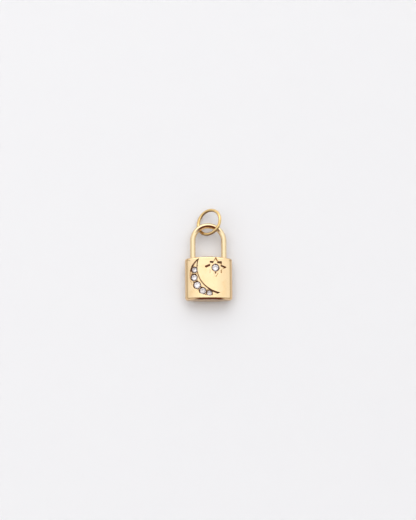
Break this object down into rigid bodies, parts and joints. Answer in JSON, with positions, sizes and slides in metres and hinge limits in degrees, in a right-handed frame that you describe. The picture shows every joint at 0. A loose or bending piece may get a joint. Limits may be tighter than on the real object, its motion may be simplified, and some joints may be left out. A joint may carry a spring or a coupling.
{
  "type": "padlock pendant",
  "caption": "Small closed padlock charm with bulged faces, a sunk crescent moon and star set with round stones, a wire shackle and a jump ring.",
  "frame": {"origin": "middle of the flat strip on the back of the case, where the pendant lies on a surface", "axes": "+Z out of the front, +Y from the case towards the shackle and the jump ring, +X to the pendant's right as seen from the front"},
  "size_m": [0.01, 0.0199, 0.0039],
  "materials": {
    "polished_gold": "gold plate, polished to a mirror with fine hairline scratches",
    "ring_gold": "gold-plated round wire, polished, slightly darker than the case",
    "stone": "clear colourless cut stone"
  },
  "bodies": {
    "root": {"case": "polished_gold", "shackle": "polished_gold", "jump_ring": "ring_gold", "moon_stone_1": "stone", "moon_stone_2": "stone", "moon_stone_3": "stone", "moon_stone_4": "stone", "moon_stone_5": "stone", "star_stone": "stone"}
  },
  "joints": []
}
